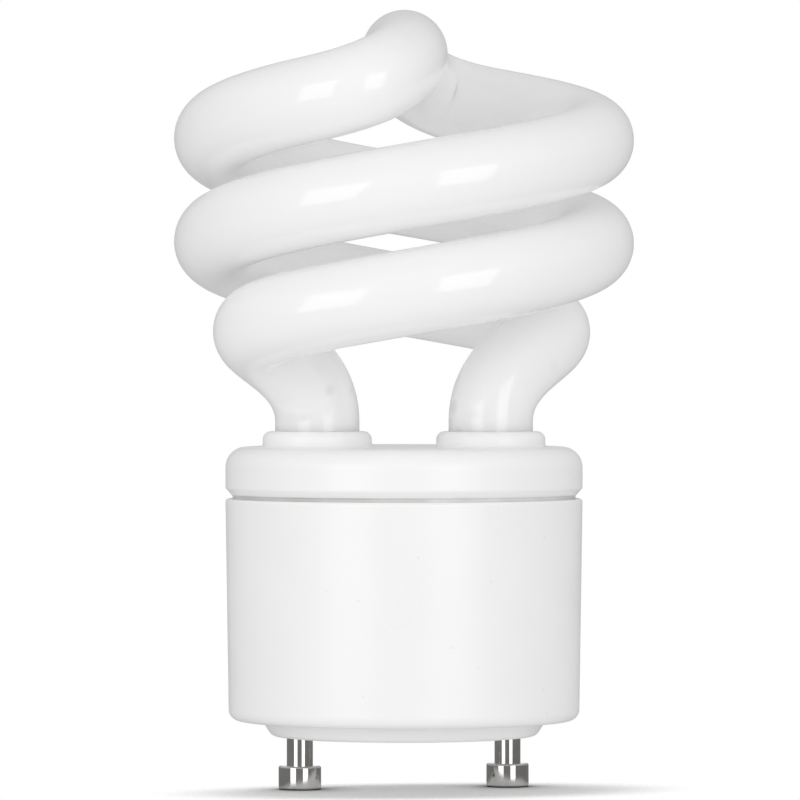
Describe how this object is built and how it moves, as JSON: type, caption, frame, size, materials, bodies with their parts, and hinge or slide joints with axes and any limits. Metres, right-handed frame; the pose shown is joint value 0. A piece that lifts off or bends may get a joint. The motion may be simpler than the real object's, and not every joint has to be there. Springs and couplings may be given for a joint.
{
  "type": "spiral energy saving bulb",
  "caption": "Spiral fluorescent lamp: a white glass tube coiled above a flat-topped cover and a round ballast housing with a twist-lock pin base.",
  "frame": {"origin": "on the lamp axis, midway between the two contact pins, at the level of the pins' ends", "axes": "+Z along the lamp axis from the pins to the top of the coil; X along the line of the two pins"},
  "size_m": [0.052, 0.052, 0.0879],
  "materials": {
    "tube_glass": "glossy, white coating inside",
    "white_plastic": "satin gloss moulded",
    "pin_metal": "bright nickel plate on brass",
    "cement": "matte",
    "board_laminate": "matte",
    "ferrite": "matte",
    "bobbin_plastic": "matte",
    "copper_wire": "enamelled copper",
    "can_sleeve": "gloss sleeve",
    "capacitor_coat": "dipped gloss",
    "case_black": "matte",
    "resistor_coat": "satin",
    "wire_sleeve": "satin",
    "post_steel": "tinned"
  },
  "bodies": {
    "root": {"spiral_tube": "tube_glass", "tube_cover": "white_plastic", "ballast_housing": "white_plastic", "circuit_board": "board_laminate", "choke_core_upper": "ferrite", "choke_core_lower": "ferrite", "choke_bobbin": "bobbin_plastic", "choke_winding": "copper_wire", "bulk_capacitor": "can_sleeve", "resonant_capacitor": "capacitor_coat", "coupling_capacitor": "capacitor_coat", "ring_core": "ferrite", "fuse_resistor": "resistor_coat", "contact_pin_1": "pin_metal", "cement_ring_1": "cement", "mains_lead_1": "wire_sleeve", "transistor_1": "case_black", "contact_pin_2": "pin_metal", "cement_ring_2": "cement", "mains_lead_2": "wire_sleeve", "transistor_2": "case_black", "ring_winding_1": "copper_wire", "ring_winding_2": "copper_wire", "ring_winding_3": "copper_wire", "rectifier_diode_1": "case_black", "wrap_post_1": "post_steel", "tube_lead_1": "post_steel", "rectifier_diode_2": "case_black", "wrap_post_2": "post_steel", "tube_lead_2": "post_steel", "rectifier_diode_3": "case_black", "wrap_post_3": "post_steel", "tube_lead_3": "post_steel", "rectifier_diode_4": "case_black", "wrap_post_4": "post_steel", "tube_lead_4": "post_steel"}
  },
  "joints": []
}
